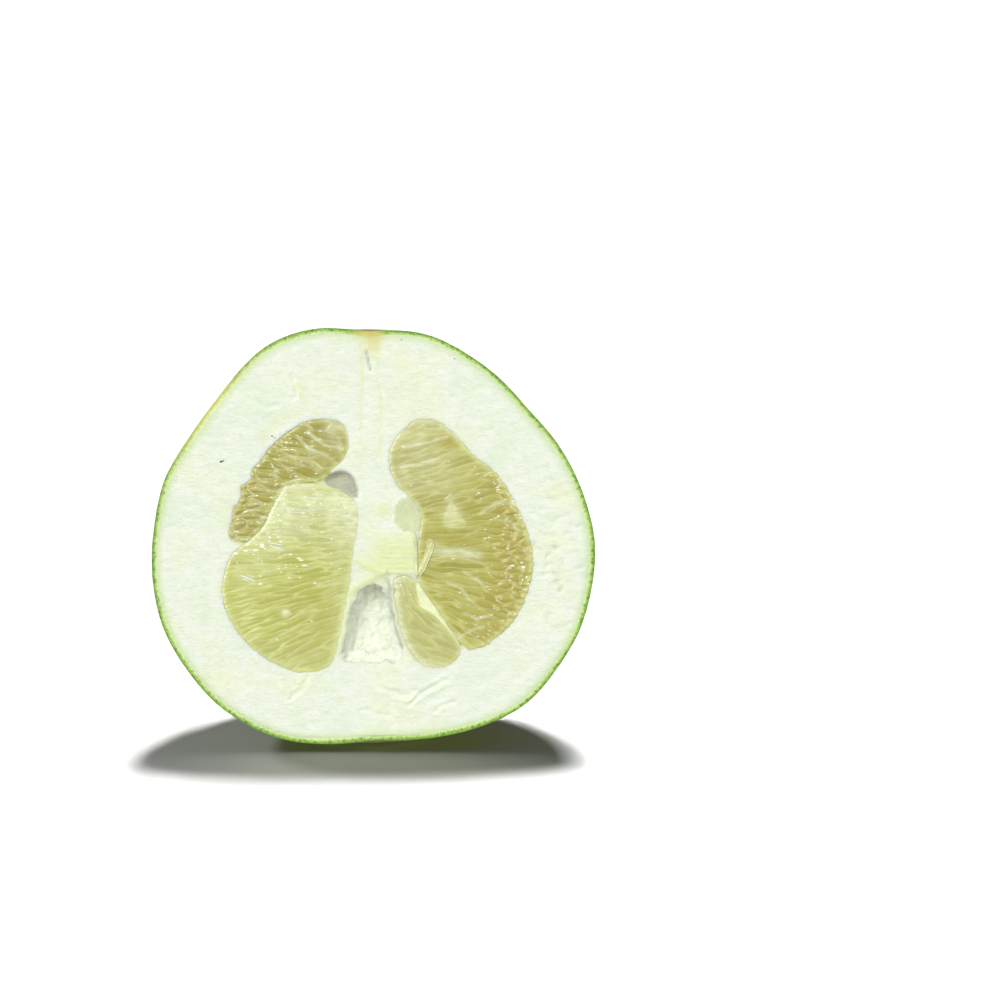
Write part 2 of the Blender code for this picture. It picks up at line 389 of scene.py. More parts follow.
def speckle(tree, scale, detail=3.0, roughness=0.5, where=None):
    """Cloudy noise over the piece. scale is in features per metre."""
    where = where or place_on(tree)
    feeds = {"Vector": where, "Scale": scale, "Detail": detail, "Roughness": roughness}
    return add(tree, "TexNoise", feeds).outputs["Fac"]


def value_of(tree, name):
    return add(tree, "Attribute", attribute_name=name).outputs["Fac"]


def calc(tree, operation, first, second, clamp=False):
    return add(tree, "Math", {0: first, 1: second}, operation=operation, use_clamp=clamp).outputs[0]


def plus(tree, first, second):
    return calc(tree, "ADD", first, second)


def times(tree, first, second):
    return calc(tree, "MULTIPLY", first, second)


def tint(tree, color, name, share, other):
    """The colour, turned towards another by a share of the piece's mark of this name."""
    return blend_colors(tree, calc(tree, "MULTIPLY", value_of(tree, name), share, True), color, other)


def bumps(tree, height, depth, strength=1.0, under=None):
    feeds = {"Height": height, "Distance": depth, "Strength": strength}
    if under is not None:
        feeds["Normal"] = under
    return add(tree, "Bump", feeds).outputs["Normal"]


peel_paint, tree, shader = finish_of("peel")
height = add(tree, "SeparateXYZ", {"Vector": place_on(tree)}).outputs["Z"]
greener_top = add(tree, "MapRange", {"Value": height, "From Min": 0.085, "From Max": 0.150, "To Max": -0.16})
patches = plus(tree, times(tree, speckle(tree, 20, 2), 0.6), times(tree, speckle(tree, 85, 3), 0.4))
ripeness = plus(tree, patches, greener_top.outputs["Result"])
ground = ramp(tree, ripeness, (0.28, shade(130, 172, 56)), (0.40, shade(158, 194, 68)),
              (0.50, shade(184, 206, 80)), (0.64, shade(202, 212, 90)))
cells = add(tree, "TexVoronoi", {"Vector": place_on(tree), "Scale": 800})
net = ramp(tree, cells.outputs["Distance"], (0.2, 0.0), (0.75, 1.0))
ground = blend_colors(tree, times(tree, net, 0.22), ground, shade(214, 226, 120))
gland_shape = plus(tree, value_of(tree, "gland"), times(tree, speckle(tree, 1500, 2), 0.3))
dots = ramp(tree, gland_shape, (0.42, 0.0), (0.68, 1.0))
dark = ramp(tree, ripeness, (0.34, shade(58, 118, 22)), (0.60, shade(112, 138, 34)))
outside_color = blend_colors(tree, times(tree, dots, 0.9), ground, dark)
specks = ramp(tree, speckle(tree, 95, 5, 0.7), (0.70, 0.0), (0.76, 1.0))
outside_color = blend_colors(tree, times(tree, specks, 0.6), outside_color, shade(70, 84, 34))
cells = add(tree, "TexVoronoi", {"Vector": place_on(tree), "Scale": 640})
gland_cut = ramp(tree, cells.outputs["Distance"], (0.20, 1.0), (0.50, 0.0))
wavering = calc(tree, "SUBTRACT", speckle(tree, 900, 3), 0.5)
ragged = plus(tree, value_of(tree, "layer"), times(tree, wavering, 0.9))
rim_ground = ramp(tree, ragged, (0.0, shade(98, 144, 34)), (0.24, shade(126, 170, 54)),
                  (0.52, shade(168, 202, 94)), (0.80, shade(206, 229, 152)), (1.0, shade(220, 238, 176)))
gland_band = ramp(tree, ragged, (0.1, 0.9), (0.5, 0.7), (0.85, 0.0))
rim_color = blend_colors(tree, times(tree, gland_cut, gland_band), rim_ground, shade(78, 124, 32))
is_rim = calc(tree, "GREATER_THAN", value_of(tree, "layer"), 0.002)
ripe_rim = ramp(tree, ragged, (0.0, shade(186, 188, 84)), (0.35, shade(212, 216, 118)),
                (0.80, shade(236, 242, 188)))
rim_color = tint(tree, rim_color, "blush", 0.9, ripe_rim)
rim_color = tint(tree, rim_color, "scar", 0.85, shade(216, 200, 104))
between_dots = calc(tree, "SUBTRACT", 0.75, times(tree, dots, 0.5))
ripe_share = times(tree, value_of(tree, "blush"), between_dots)
outside_color = blend_colors(tree, ripe_share, outside_color, shade(208, 206, 92))
bark = ramp(tree, speckle(tree, 700, 4), (0.35, shade(92, 74, 44)), (0.65, shade(150, 132, 84)))
outside_color = blend_colors(tree, value_of(tree, "scar"), outside_color, bark)
pores = bumps(tree, speckle(tree, 2600, 2), 0.00010, 0.5)
feed(tree, shader, {
    "Base Color": blend_colors(tree, is_rim, outside_color, rim_color),
    "Roughness": ramp(tree, speckle(tree, 260, 3), (0.3, 0.30), (0.7, 0.46)),
    "Normal": bumps(tree, speckle(tree, 700, 3), 0.00025, 0.5, pores),
    "Specular IOR Level": 0.5, "Coat Weight": 0.25, "Coat Roughness": 0.22,
    "Subsurface Weight": 0.15, "Subsurface Scale": 0.0015,
})
skin.data.materials.clear()
skin.data.materials.append(peel_paint)
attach(skin, "root")
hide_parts("zest")

# Pith: the thick white spongy layer under the peel and the core it runs into. The knife has left its face
# slightly dragged, pitted on the right and torn below, and it fades to green under the peel.
PITH_GRAIN = 0.00066  # size of the finest facets
PITH_KEPT = 0.0172  # depth of pith that is modelled finely, from the cut
NEAR_PEEL, PEEL_FADE = 0.0026, 0.0010  # pith this near the outside is moved out to the peel, then ever less
PEEL_LAP = 0.0006  # how far it then reaches into the peel


def face_places(points):
    """Where points lie seen square on the cut face, in millimetres: x across, z up the face."""
    away = (points - np.array(FOOT)) * 1000
    return away @ np.array(ACROSS), away @ np.array(UP_FACE)


def grain(x, z, size, turn=0.0, stretch=1.0, seed=0.0):
    """Noise from -1 to 1 over the cut face. size is its feature in millimetres, turn its run in degrees."""
    run, rise = math.cos(math.radians(turn)), math.sin(math.radians(turn))
    along, across = (x * run + z * rise) / (size * stretch), (z * run - x * rise) / size
    return np.array([noise.noise((a, b, seed)) for a, b in zip(along, across)])


def line_gap(x, z, line):
    """Distance of each place from a line of straight runs, in millimetres."""
    best = np.full(len(x), 1e9)
    for (x0, z0), (x1, z1) in zip(line, line[1:]):
        run, rise = x1 - x0, z1 - z0
        share = np.clip(((x - x0) * run + (z - z0) * rise) / (run * run + rise * rise), 0, 1)
        best = np.minimum(best, np.hypot(x - x0 - share * run, z - z0 - share * rise))
    return best


def hump(distance, width):
    """1 on a line, falling smoothly to 0 at about twice the width."""
    return np.exp(-((distance / width) ** 2))


def steps(value, *knots):
    """Follows (value, result) knots, straight between them."""
    return np.interp(value, [k[0] for k in knots], [k[1] for k in knots])


def spot(x, z, middle_x, middle_z, wide, tall):
    """1 at a place on the face, falling smoothly to 0 round it."""
    return hump(np.hypot((x - middle_x) / wide, (z - middle_z) / tall), 1.0)


def nearness(points, surface, reach):
    """1 where points touch a surface, falling to 0 at the reach, in metres."""
    gaps = np.array([surface.find_nearest(Vector(p), reach)[3] or reach for p in points])
    return 1 - np.clip(gaps / reach, 0, 1)


def outline_of(points, ragged=0.0, seed=0):
    """A closed, rounded outline through points in millimetres on the face. ragged: how far it strays."""
    ring = np.array(points, float)
    for _ in range(3):  # each round cuts every corner off
        onward = np.roll(ring, -1, 0)
        ring = np.stack([ring * 0.75 + onward * 0.25, ring * 0.25 + onward * 0.75], 1).reshape(-1, 2)
    rough = np.array([noise.noise((a * 0.9, b * 0.9, seed)) + 0.6 * noise.noise((a * 2.7, b * 2.7, seed))
                      for a, b in ring])
    outward = ring - ring.mean(0)
    return ring + outward / np.linalg.norm(outward, axis=1)[:, None] * (ragged * rough)[:, None]


def inside(x, z, ring):
    """Which places lie within a closed outline."""
    within = np.zeros(len(x), bool)
    for (x0, z0), (x1, z1) in zip(ring, np.roll(ring, -1, 0)):
        crosses = (z0 > z) != (z1 > z)
        within ^= crosses & (x < (x1 - x0) * (z - z0) / (z1 - z0 if z1 != z0 else 1) + x0)
    return within


def surface_of(piece):
    return BVHTree.FromPolygons([v.co for v in piece.data.vertices],
                                [p.vertices for p in piece.data.polygons])


def remesh(piece, size):
    """Rebuilds the piece in even facets."""
    even = piece.modifiers.new("even", "REMESH")
    even.mode = "VOXEL"
    even.voxel_size = size
    bpy.ops.object.modifier_apply(modifier="even")


pith = copy_of("pith", "pith_flesh")
bpy.ops.object.mode_set(mode="EDIT")
bpy.ops.mesh.select_all(action="SELECT")
bpy.ops.mesh.bisect(plane_co=FOOT + INTO_FRUIT * PITH_KEPT, plane_no=INTO_FRUIT, clear_outer=True,
                    use_fill=True)
bpy.ops.object.mode_set(mode="OBJECT")
remesh(pith, PITH_GRAIN)
pick(pith, faces=lambda f: (f.calc_center_median() - FOOT).dot(INTO_FRUIT) > PITH_KEPT - 0.0004)
bpy.ops.mesh.dissolve_faces()
bpy.ops.object.mode_set(mode="OBJECT")

# its sides pushed out to meet the peel
points = points_of(pith.data)
form_surface = surface_of(form)
for i, point in enumerate(points):
    place, outward, _, gap = form_surface.find_nearest(Vector(point), NEAR_PEEL + PEEL_FADE)
    if place is not None:
        meet = 1 - max(0.0, (gap - NEAR_PEEL) / PEEL_FADE)
        points[i] = point + np.array(outward) * (gap - SKIN_DEPTH + PEEL_LAP) * meet
depth = into_fruit(points)
x, z = face_places(points)
move_points(pith.data, points)
normals = normals_of(pith.data)
facing = normals @ np.array(toward)

# the cut: drag marks, pores on the right, tears below, and the fine veins that run down from the stem
beside_peel = nearness(points, form_surface, 0.0050)
front = np.clip(1 - depth / 0.0012, 0, 1) * (facing > 0.3) * np.clip(2.6 - 3.4 * beside_peel, 0, 1)
relief = (0.30 * grain(x, z, 26) + 0.18 * grain(x, z, 8, 12, 1.6, seed=3)
          + 0.16 * grain(x, z, 2.6, 14, 2.2, seed=5))
pores = spot(x, z, 67, 66, 9, 21) * np.clip(grain(x, z, 2.2, 20, 1.6, seed=8) - 0.12, 0, 1)
relief -= 2.4 * pores
TEARS = [
    ([(13, 14), (19, 19), (27, 23)], 0.55), ([(3, 20), (11, 17), (16, 19)], 0.40),
    ([(-30, 16), (-26, 19), (-23, 24)], 0.30), ([(22, 12), (30, 15)], 0.35), ([(-4, 12), (6, 10)], 0.25),
    ([(-29, 133), (-27, 128), (-28, 125)], 0.30), ([(-44, 124), (-38, 121), (-34, 122)], 0.22),
    ([(24, 128), (31, 124)], 0.22), ([(-16, 104), (-4, 108)], 0.15),
]
for line, deep in TEARS:
    gap = line_gap(x + 1.2 * grain(x, z, 3, seed=11), z + 1.2 * grain(x, z, 3, seed=12), line)
    relief -= 1.7 * deep * hump(gap, 0.6)
    relief += 0.7 * deep * hump(gap - 1.6, 0.7)
VEINS = [[(-4.4, 146), (-3.4, 132), (-4.0, 118), (-3.2, 104), (-4.6, 92)],
         [(2.4, 146), (1.9, 134), (3.3, 120), (2.6, 106), (5.0, 92)]]
vein_gap = np.minimum(line_gap(x, z, VEINS[0]), line_gap(x, z, VEINS[1]))
vein_gap += 0.35 * np.abs(grain(x, z, 5, 90, 2, seed=14))
relief += 0.16 * hump(vein_gap, 0.4) - 0.12 * hump(vein_gap - 1.0, 0.5)
column = (np.abs(x + 0.6) < 4.6) & (z > 60)
relief += 0.14 * grain(x, z, 1.1, 90, 6, seed=15) * column  # the core is drawn into upright strands
slit = hump(line_gap(x, z, [(-2.0, 141), (-1.2, 138), (-0.6, 134.5)]), 0.4)
relief -= 1.2 * slit
BETWEEN_LEFT = [(-46.5, 73.6), (-43, 74.6), (-38.6, 79), (-36, 84), (-34, 89.6), (-30, 94.1), (-24, 94.6),
                (-18, 95), (-12, 96)]
between = hump(line_gap(x, z, BETWEEN_LEFT), 1.9)
relief -= 1.5 * between
LOWER_RIGHT = outline_of([(11.9, 60.2), (8.2, 59.3), (8.0, 55), (9.0, 49.2), (10.0, 43), (11.9, 37.2),
                          (14.3, 32.8), (17.7, 29), (21.5, 27.4), (25.9, 27.7), (30.0, 30.2), (31.9, 34.0),
                          (30.4, 36.7), (28.0, 40.3), (24.6, 43.9), (21.8, 46.8), (18.4, 48.3),
                          (16.6, 49.7), (16.4, 54), (15.6, 58.6)])
UPPER_LEFT = outline_of([(-9.5, 113.2), (-8.6, 108.7), (-10.3, 103.4), (-14.1, 99.6), (-17.1, 95.8),
                         (-23.2, 94.7), (-28.5, 94.7), (-31.5, 93.5), (-33, 90.5), (-36, 87.5),
                         (-38.3, 82.9), (-40.6, 78.4), (-42.9, 74.6), (-47.4, 73.2), (-51.2, 73.4),
                         (-51.0, 77.6), (-49.8, 81.4), (-50.0, 85.2), (-47.0, 86.4), (-46.6, 89.7),
                         (-47.2, 92.6), (-44, 93.9), (-42.9, 95.8), (-43.0, 98.8), (-40.2, 101.1),
                         (-38.0, 105.0), (-33.8, 108.3), (-30.9, 111.8), (-27.3, 112.5), (-26.4, 114.6),
                         (-23.2, 115.7), (-18.6, 116.6), (-14.1, 116.6), (-11, 115.1)])
POCKET = outline_of([(-17.4, 94.4), (-15, 96.8), (-11.8, 98.2), (-8.4, 97.6), (-6.2, 95), (-5.2, 91),
                     (-5.2, 88), (-8, 89.6), (-11, 91.6), (-14.8, 92.8)])


def sunk(ring, soft):
    """1 within a closed outline, 0 outside it, changing over a width of soft millimetres."""
    gap = line_gap(x, z, np.vstack([ring, ring[:1]]))
    return np.clip(0.5 + np.where(inside(x, z, ring), gap, -gap) / soft, 0, 1)


relief -= 2.6 * sunk(LOWER_RIGHT, 0.7) + 2.6 * sunk(UPPER_LEFT, 0.7)
pocket = sunk(POCKET, 1.2)
relief -= 2.0 * pocket
# the pleated wall beside the right segment, its shelf, and the folds that cross above the hollow
ruffle = 1.2 * grain(x, z, 4, seed=18)
pleat = steps(x + ruffle, (-1.5, 0), (6.5, 1), (15.4, 1), (15.9, 0))
pleat *= steps(z + ruffle, (60.4, 0), (61.9, 1), (73.0, 1), (77.5, 0))
pleat_rows = np.sin(z * 5.9 + 0.8 * grain(x, z, 6, seed=16))
relief += pleat * (0.6 + 0.26 * pleat_rows + 0.2 * grain(x, z, 4, seed=17))
FOLDS = [([(-12, 33), (-10.2, 42), (-8.3, 50), (-6.6, 55.5)], 1.5),
         ([(-9.5, 54), (-3.5, 57.5), (2.2, 60.3), (5, 61.5)], 1.1),
         ([(-6, 66), (0, 63), (4, 61.8)], 0.9), ([(7.3, 57.6), (8, 50), (9.6, 40), (14.8, 30.4)], 0.8),
         ([(4.9, 64), (4.8, 59.5)], 0.6)]
folds = sum(hump(line_gap(x, z, line), wide) for line, wide in FOLDS)
relief += 0.45 * folds
groove = hump(line_gap(x, z, [(5.9, 58), (6.6, 51), (7.6, 44), (10.5, 35)]), 0.8)
relief -= 0.8 * groove
pulp = [surface_of(frame["nodes"][n]) for n in frame["nodes"] if n.startswith("segment")]
beside_pulp = np.max([nearness(points, surface, 0.0030) for surface in pulp], axis=0)
relief -= 0.25 * beside_pulp * (np.abs(relief) < 0.6)
points = points + np.array(toward) * (relief * front / 1000)[:, None]

# the hollow low in the core is lined with loose cottony fibres
in_hollow = (np.abs(x - 0.5) < 12.5) & (z > 27.5) & (z < 60) & (depth > 0.0006) & (depth < 0.0125)
bed = np.minimum(steps(z, (28, 1.4), (33, 3.2), (38, 7.0), (54, 7.0), (59, 5.5)),
                 steps(np.abs(x + 0.3), (6.0, 7.0), (9.5, 1.2)))
filled = np.clip(depth * 1000 - bed, 0, None)[in_hollow] * 0.88
points[in_hollow] += filled[:, None] / 1000 * np.array(toward)
stretched = points[in_hollow] * (1.0, 1.0, 0.45)
fluff = np.array([noise.noise(Vector(p) * 480) + 0.8 * noise.noise(Vector(p) * 1150) for p in stretched])
points[in_hollow] += normals[in_hollow] * (fluff * 0.0014)[:, None]
from_mouth = np.hypot(np.maximum(np.abs(x + 0.5) - 5, 0), np.maximum(np.abs(z - 41) - 11, 0))
lip = hump((from_mouth - 1.5) / 4.5, 1.0) * (z < 66) * (z > 20)
points += (np.outer(0.0011 * lip * grain(x, z, 3.2, seed=31), ACROSS)
           + np.outer(0.0011 * lip * grain(x, z, 3.2, seed=32), UP_FACE))
move_points(pith.data, points)

mark(pith.data, "near_peel", nearness(points, form_surface, 0.0070))
mark(pith.data, "near_pulp", np.max([nearness(points, surface, 0.0045) for surface in pulp], axis=0))
scar = spot(x, z, -0.2, 148.5, 2.6 + 0.22 * np.abs(z - 141), 7.0)
mark(pith.data, "scar", np.clip(scar + 0.5 * grain(x, z, 4, seed=21) * scar, 0, 1))
face = depth < 0.003
yellow = (0.8 + 0.4 * grain(x, z, 3, 0, 3, seed=19)) * pleat + 0.7 * folds
yellow += 0.65 * hump(vein_gap, 0.6) * np.clip((z - 88) / 30, 0.2, 1)
yellow += 0.9 * spot(x, z, 4.2, 84, 2.4, 2.6) + 0.6 * spot(x, z, 1, 64, 7, 8)
yellow += 0.3 * spot(x, z, -52, 84, 5, 9) + 0.3 * spot(x, z, -23, 21, 8, 3)
yellow += 0.35 * hump(line_gap(x, z, [(-40, 110), (-33, 117), (-26, 119.5)]), 2.0)
yellow += 0.35 * hump(line_gap(x, z, [(-27, 128), (-23, 122), (-20, 118.5)]), 1.6)
mark(pith.data, "yellow", np.clip(yellow, 0, 1) * face)
mark(pith.data, "olive", np.clip(1.1 * between, 0, 1) * (depth < 0.006))
# painted shade: grey where the pith sinks, in the pocket, groove, slit, pores and deep in the hollow
deep_spot = spot(x, z, 2.8, 54.5, 3.2, 4.5) + 0.25 * spot(x, z, -4.5, 50, 1.8, 6)
grey = pocket * steps(x, (-17, 0.9), (-6, 1.3)) + 0.8 * groove + slit + 0.95 * pores
grey += deep_spot * (0.42 + 0.5 * grain(x, z, 2, 90, 3, seed=33))
mark(pith.data, "grey", np.clip(grey, 0, 1.2) * (depth < 0.014))
mark(pith.data, "hollow", in_hollow.astype(float))
bpy.ops.object.shade_smooth()

pith_paint, tree, shader = finish_of("pith")
cloud = speckle(tree, 55, 4)
ground = ramp(tree, cloud, (0.35, shade(240, 250, 229)), (0.5, shade(247, 255, 238)),
              (0.68, shade(247, 253, 222)))
fibres = add(tree, "Mapping", {"Vector": place_on(tree), "Rotation": (0, 0.22, 0), "Scale": (1, 1, 2.6)})
streaks = ramp(tree, speckle(tree, 190, 5, 0.65, fibres.outputs["Vector"]), (0.38, 1.0), (0.62, 0.0))
ground = blend_colors(tree, times(tree, streaks, 0.36), ground, shade(221, 235, 204))
under_peel = plus(tree, value_of(tree, "near_peel"), times(tree, speckle(tree, 500, 3), 0.12))
under_peel = ramp(tree, under_peel, (0.42, 0.0), (0.98, 1.0))
ground = blend_colors(tree, under_peel, ground, shade(216, 236, 170))
beside_pulp = times(tree, ramp(tree, value_of(tree, "near_pulp"), (0.25, 0.0), (1.0, 1.0)), 0.75)
ground = blend_colors(tree, beside_pulp, ground, shade(238, 242, 190))
ground = tint(tree, ground, "yellow", 0.8, shade(232, 238, 172))
ground = tint(tree, ground, "olive", 0.85, shade(208, 212, 146))
# painted shade: grey in the pith's pocket, groove, slit, pores and the deep spot of the hollow
ground = tint(tree, ground, "grey", 0.82, shade(182, 182, 160))
tufts = ramp(tree, speckle(tree, 520, 4, 0.7), (0.34, shade(228, 233, 208)), (0.52, shade(248, 252, 234)))
ground = tint(tree, ground, "hollow", 0.8, tufts)
ground = tint(tree, ground, "scar", 0.9, shade(228, 216, 118))
mottle = ramp(tree, speckle(tree, 430, 4, 0.7, fibres.outputs["Vector"]), (0.36, 1.0), (0.47, 0.0))
ground = blend_colors(tree, times(tree, mottle, 0.34), ground, shade(212, 227, 202))
sponge = add(tree, "TexVoronoi", {"Vector": place_on(tree), "Scale": 900})
fine = bumps(tree, sponge.outputs["Distance"], 0.00012, 0.35)
feed(tree, shader, {
    "Base Color": ground, "Roughness": 0.72, "Specular IOR Level": 0.35,
    "Normal": bumps(tree, speckle(tree, 420, 5, 0.7, fibres.outputs["Vector"]), 0.0008, 0.8, fine),
    "Subsurface Weight": 0.5, "Subsurface Radius": (1.0, 0.95, 0.7), "Subsurface Scale": 0.0022,
})
pith.data.materials.clear()
pith.data.materials.append(pith_paint)
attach(pith, "root")
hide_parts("pith")

bpy.data.objects.remove(form)

# Left upper segment: juice sacs laid open across their length, darker and wetter than the rest. It has sunk
# below the cut, and on the rind side its sacs end in round swollen heads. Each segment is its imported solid
# with a flat front, rebuilt in fine facets, on which the sacs are then raised one by one.
PULP_GRAIN = 0.00028  # size of the finest facets
WAIST = 0.0046  # depth at which a segment's outline is taken
RING_BACK = 8.4  # depth that flesh with an outline of its own reaches, in millimetres
PULP_KEPT = 0.0085  # depth of flesh that is modelled finely, from the cut
PRESSED = 0.0009  # how far its sides are pressed into the pith
SAC_TRIES = 9000  # places tried for a sac
SAC_GAP = 0.86  # nearest that two sacs lie, in sizes of a sac


def juice_sacs(x, z, habit, seed):
    """Packs juice sacs over the cut face of a segment. habit gives, for places on the face, the way its sacs
    run in degrees, their length and their width. Returns how near the edge of its sac each place lies, from 0
    to 1, the sac's own number from 0 to 1, and how far along it the place lies, from -1 to 1."""
    chance = np.random.default_rng(seed)
    tries = np.column_stack([chance.uniform(side.min() - 2, side.max() + 2, SAC_TRIES) for side in (x, z)])
    turn, long, wide = [np.broadcast_to(kind, len(tries)) for kind in habit(tries[:, 0], tries[:, 1])]
    run, rise = np.cos(np.radians(turn)), np.sin(np.radians(turn))
    kept = []
    for i, (tx, tz) in enumerate(tries):
        dx, dz = tx - tries[kept, 0], tz - tries[kept, 1]
        apart = np.hypot((dx * run[i] + dz * rise[i]) / long[i], (dz * run[i] - dx * rise[i]) / wide[i])
        if not kept or apart.min() > SAC_GAP:
            kept.append(i)
    px, pz = tries[kept].T
    run, rise, long, wide = run[kept], rise[kept], long[kept], wide[kept]
    own_number = chance.uniform(0, 1, len(kept))
    near_edge, number, along = np.empty(len(x)), np.empty(len(x)), np.empty(len(x))
    for start in range(0, len(x), 4000):
        part = slice(start, start + 4000)
        dx, dz = x[part, None] - px, z[part, None] - pz
        ahead = (dx * run + dz * rise) / long
        gaps = np.hypot(ahead, (dz * run - dx * rise) / wide)
        order = np.argsort(gaps, axis=1)[:, :2]
        first, second = np.take_along_axis(gaps, order, 1).T
        near_edge[part] = 2 * first / (first + second)
        number[part] = own_number[order[:, 0]]
        along[part] = np.clip(2 * np.take_along_axis(ahead, order[:, :1], 1)[:, 0], -1, 1)
    return near_edge, number, along


def pulp_of(node, name, front, ring=None, instead=True):
    """A segment's flesh in fine even facets, its sides pressed into the pith. front: how deep its flat front
    lies, in metres. ring: an outline of its own, where the flesh swells past its walls or is pushed over
    them, which stands instead of the solid's or is added to it."""
    piece = copy_of(node, name)
    bpy.ops.object.mode_set(mode="EDIT")
    bpy.ops.mesh.select_all(action="SELECT")
    bpy.ops.mesh.bisect(plane_co=FOOT + INTO_FRUIT * WAIST, plane_no=toward, clear_outer=True, use_fill=True)
    bpy.ops.mesh.extrude_region_move(TRANSFORM_OT_translate={"value": toward * (WAIST - front)})
    bpy.ops.mesh.select_all(action="SELECT")
    if ring is not None:
        if instead:
            bpy.ops.mesh.delete(type="VERT")
        bpy.ops.mesh.select_all(action="DESELECT")
        shape = bmesh.from_edit_mesh(piece.data)
        back = shape.faces.new([shape.verts.new(on_face(a, b, RING_BACK)) for a, b in ring])
        back.select_set(True)
        bmesh.update_edit_mesh(piece.data)
        forward = toward * (RING_BACK / 1000 - front)
        bpy.ops.mesh.extrude_region_move(TRANSFORM_OT_translate={"value": forward})
        bpy.ops.mesh.select_linked()
        bpy.ops.mesh.normals_make_consistent(inside=False)
        bpy.ops.mesh.select_all(action="SELECT")
    bpy.ops.mesh.bisect(plane_co=FOOT + INTO_FRUIT * PULP_KEPT, plane_no=INTO_FRUIT, clear_outer=True,
                        use_fill=True)
    bpy.ops.object.mode_set(mode="OBJECT")
    remesh(piece, PULP_GRAIN)
    even = piece.modifiers.new("even", "SMOOTH")
    even.iterations = 3
    bpy.ops.object.modifier_apply(modifier="even")
    pick(piece, faces=lambda f: f.normal.dot(INTO_FRUIT) > 0.98
         and (f.calc_center_median() - FOOT).dot(INTO_FRUIT) > PULP_KEPT - 0.0007)
    bpy.ops.mesh.dissolve_faces()
    bpy.ops.object.mode_set(mode="OBJECT")
    points = points_of(piece.data)
    sideways = normals_of(piece.data)
    sideways -= (sideways @ np.array(toward))[:, None] * np.array(toward)
    near_front = np.clip(1.6 - into_fruit(points) / 0.006, 0, 1)
    move_points(piece.data, points + sideways * (PRESSED * near_front)[:, None])
    bpy.ops.object.shade_smooth()
    return piece


def raise_sacs(piece, front, swell, round_off, habit, plump, film, seed):
    """Raises the juice sacs on the flesh's front. swell: how far its middle stands out, in millimetres.
    round_off: how wide its edge rounds down. plump: height of a sac. film: how far a skin hides the sacs."""
    points = points_of(piece.data)
    depth = into_fruit(points) * 1000
    x, z = face_places(points)
    walls = np.nonzero((depth > 4.0) & (depth < 5.0))[0]
    outline = kdtree.KDTree(len(walls))
    for i in walls:
        outline.insert((x[i], z[i], 0), int(i))
    outline.balance()
    reach = front * 1000 + 1.3  # down to this depth the front is raised
    top = depth < reach
    inset = np.zeros(len(points))
    inset[top] = [outline.find((a, b, 0))[2] for a, b in zip(x[top], z[top])]
    wander = [side[top] + 0.9 * grain(x[top], z[top], 6, seed=seed + own) for side, own in ((x, 0), (z, 0.5))]
    near_edge, number, along = np.ones(len(points)), np.full(len(points), 0.5), np.zeros(len(points))
    near_edge[top], number[top], along[top] = juice_sacs(*wander, habit, seed)
    veil = np.zeros(len(points))
    veil[top] = np.clip(film(x[top], z[top]), 0, 1)
    height = plump(x, z) * (0.7 + 0.6 * number) * (1 - near_edge**2.6) * (1 - 0.7 * veil)
    height += 0.12 * (number - 0.5) * along
    height[top] += swell * (1 - hump(inset[top], 9)) + 0.25 * grain(x[top], z[top], 12, seed=seed + 2)
    height[top] -= round_off * np.clip(1 - inset[top] / (1.6 * round_off), 0, 1) ** 2
    share = np.clip((reach - depth) / 1.1, 0, 1)
    move_points(piece.data, points + np.array(toward) * (height * share / 1000)[:, None])
    mark(piece.data, "edge", near_edge)
    mark(piece.data, "tone", number)
    mark(piece.data, "film", veil)
    mark(piece.data, "rim", np.clip(1 - inset / 2.2, 0, 1) * top)
    return x, z, inset


# painted highlights: short near-white dashes where juice on the cut catches light, more where Wet is higher
painted_juice_glints = bpy.data.node_groups.new("painted_juice_glints", "ShaderNodeTree")
painted_juice_glints.interface.new_socket(name="Wet", in_out="INPUT", socket_type="NodeSocketFloat")
painted_juice_glints.interface.new_socket(name="Glint", in_out="OUTPUT", socket_type="NodeSocketFloat")
glint_share_in = painted_juice_glints.nodes.new("NodeGroupInput").outputs["Wet"]
dashes = add(painted_juice_glints, "Mapping", {"Vector": place_on(painted_juice_glints), "Rotation": (0, 0.16, 0),
                                       "Scale": (0.34, 1, 1)})
sizes = []
for scale, spread in ((760, 1.02), (1400, 1.05)):
    cells = add(painted_juice_glints, "TexVoronoi", {"Vector": dashes.outputs["Vector"], "Scale": scale})
    lucky = add(painted_juice_glints, "SeparateColor", {"Color": cells.outputs["Color"]}).outputs
    chosen = calc(painted_juice_glints, "GREATER_THAN", plus(painted_juice_glints, lucky[0], glint_share_in), spread)
    near = plus(painted_juice_glints, cells.outputs["Distance"], times(painted_juice_glints, lucky[1], 0.2))
    sizes.append(times(painted_juice_glints, ramp(painted_juice_glints, near, (0.20, 1.0), (0.33, 0.0)), chosen))
given = painted_juice_glints.nodes.new("NodeGroupOutput").inputs["Glint"]
painted_juice_glints.links.new(calc(painted_juice_glints, "MAXIMUM", *sizes), given)


def glints(tree):
    """The painted highlights of this material's piece, as a mask, from its mark of where they fall."""
    group = tree.nodes.new("ShaderNodeGroup")
    group.node_tree = painted_juice_glints
    tree.links.new(value_of(tree, "painted_glint"), group.inputs["Wet"])
    return group.outputs["Glint"]


